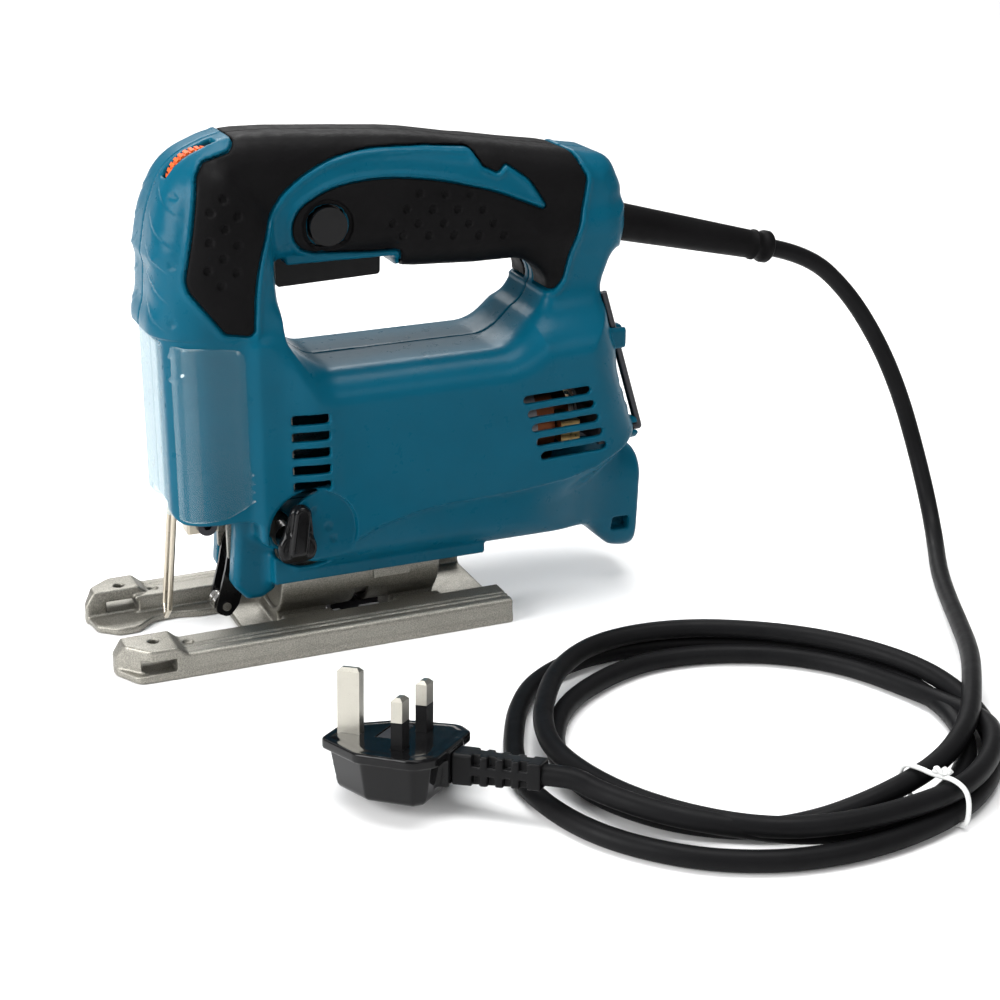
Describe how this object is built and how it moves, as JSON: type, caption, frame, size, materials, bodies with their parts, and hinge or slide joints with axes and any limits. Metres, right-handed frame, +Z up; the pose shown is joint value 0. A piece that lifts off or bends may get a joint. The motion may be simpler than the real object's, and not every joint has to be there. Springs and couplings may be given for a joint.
{
  "type": "orbital jigsaw",
  "caption": "Corded orbital-action jigsaw: clamshell body with loop handle, rubber grips, clear dust cover, tilting cast sole, roller-guided blade clamp and a mains lead coiled beside it.",
  "frame": {"origin": "middle of the tool's own footprint (without its lead and cord guard), on the plane the sole rests on", "axes": "+X from the blade to the cord guard, +Z up, and the orbit lever's side faces -Y"},
  "size_m": [0.3628, 0.2955, 0.1969],
  "materials": {
    "shell_teal": "gloss",
    "rubber_black": "matt, fine grain",
    "screw_steel": "satin zinc",
    "tool_steel": "ground",
    "bright_steel": "polished",
    "cast_aluminium": "die cast, satin",
    "clear_plastic": "clear, moulded",
    "black_gloss": "gloss",
    "dial_orange": "satin",
    "dark_steel": "laminated",
    "copper": "enamelled wire",
    "brass": "satin",
    "bronze": "sintered",
    "carbon": "matt",
    "fan_plastic": "satin",
    "felt": "pressed felt",
    "switch_plastic": "satin",
    "printed_plate": "satin",
    "cord_rubber": "matt",
    "tie_white": "satin",
    "fuse_plastic": "satin",
    "nickel": "polished"
  },
  "bodies": {
    "housing": {"housing_left": "shell_teal", "housing_right": "shell_teal", "housing_screws": "screw_steel", "grip_upper_left": "rubber_black", "grip_upper_right": "rubber_black", "grip_lower_left": "rubber_black", "grip_lower_right": "rubber_black", "gear_spindle": "bright_steel", "gear_housing": "cast_aluminium", "slider_bushes": "bronze", "felt_seal": "felt", "stator_core": "dark_steel", "field_coils": "copper", "front_bearing": "bright_steel", "rear_bearing": "bright_steel", "bearing_bracket": "cast_aluminium", "brush_holders": "brass", "carbon_brushes": "carbon", "brush_springs": "screw_steel", "switch_body": "switch_plastic", "speed_controller": "switch_plastic", "arm_pivot_pin": "bright_steel", "wire_guard": "screw_steel", "base_clamp_plate": "tool_steel", "base_clamp_bolt": "dark_steel", "tilt_saddle": "cast_aluminium", "cord_guard": "cord_rubber", "plug_body": "black_gloss", "fuse_carrier": "fuse_plastic", "plug_pins": "nickel", "pin_sleeves": "black_gloss", "plug_strain_relief": "black_gloss", "cord_run": "cord_rubber", "cord_tie": "tie_white", "cord_coil": "cord_rubber"},
    "trigger": {"trigger": "black_gloss"},
    "lock_button": {"lock_button": "black_gloss"},
    "speed_dial": {"speed_dial": "dial_orange"},
    "orbit_lever": {"orbit_lever": "black_gloss", "orbit_cam": "tool_steel"},
    "slider": {"slider_rod": "bright_steel", "blade_clamp": "tool_steel", "clamp_screw": "dark_steel"},
    "armature": {"armature_shaft": "bright_steel", "rotor_core": "dark_steel", "rotor_winding": "copper", "commutator": "copper", "fan": "fan_plastic", "pinion": "tool_steel"},
    "crank": {"crank_gear": "tool_steel", "crank_pin": "bright_steel", "crank_roller": "bright_steel"},
    "roller_arm": {"roller_arm": "black_gloss", "roller_pin": "bright_steel"},
    "roller": {"roller": "tool_steel"},
    "dust_cover": {"dust_cover": "clear_plastic"},
    "base": {"base_plate": "cast_aluminium", "scale_plate": "printed_plate"},
    "hex_key": {"hex_key": "dark_steel"}
  },
  "joints": [
    {"name": "trigger_pull", "type": "slide", "parent": "housing", "child": "trigger", "axis": [0, 0, 1], "range_m": [0, 0.005], "stiffness_N_per_m": 600, "springref_m": -0.003},
    {"name": "lock_press", "type": "slide", "parent": "housing", "child": "lock_button", "axis": [0, 1, 0], "range_m": [0, 0.003], "stiffness_N_per_m": 600, "springref_m": -0.002},
    {"name": "dial_turn", "type": "hinge", "parent": "housing", "child": "speed_dial", "pos_m": [-0.0635, -0.007, 0.1805], "axis": [0, 1, 0], "range_deg": [-135, 135]},
    {"name": "lever_turn", "type": "hinge", "parent": "housing", "child": "orbit_lever", "pos_m": [-0.041, -0.0375, 0.044], "axis": [0, 1, 0], "range_deg": [0, 78]},
    {"name": "slider_stroke", "type": "slide", "parent": "housing", "child": "slider", "axis": [0, 0, 1], "range_m": [-0.0155, 0.0025]},
    {"name": "motor_spin", "type": "hinge", "parent": "housing", "child": "armature", "pos_m": [0, 0, 0.073], "axis": [1, 0, 0], "continuous": true},
    {"name": "crank_spin", "type": "hinge", "parent": "housing", "child": "crank", "pos_m": [-0.0535, 0, 0.09663], "axis": [1, 0, 0], "continuous": true},
    {"name": "arm_swing", "type": "hinge", "parent": "housing", "child": "roller_arm", "pos_m": [-0.055, 0, 0.038], "axis": [0, 1, 0], "range_deg": [-2, 4]},
    {"name": "roller_spin", "type": "hinge", "parent": "roller_arm", "child": "roller", "pos_m": [-0.062, 0, 0.0118], "axis": [0, 1, 0], "continuous": true},
    {"name": "cover_slide", "type": "slide", "parent": "housing", "child": "dust_cover", "axis": [0, 0, 1], "range_m": [-0.022, 0]},
    {"name": "sole_tilt", "type": "hinge", "parent": "housing", "child": "base", "pos_m": [-0.01, 0, 0.026], "axis": [1, 0, 0], "range_deg": [-45, 45]},
    {"name": "key_pull", "type": "slide", "parent": "housing", "child": "hex_key", "axis": [1, 0, 0], "range_m": [0, 0.012]}
  ],
  "couplings": [
    {"joint": "crank_spin", "follows": "motor_spin", "ratio": -0.125}
  ]
}
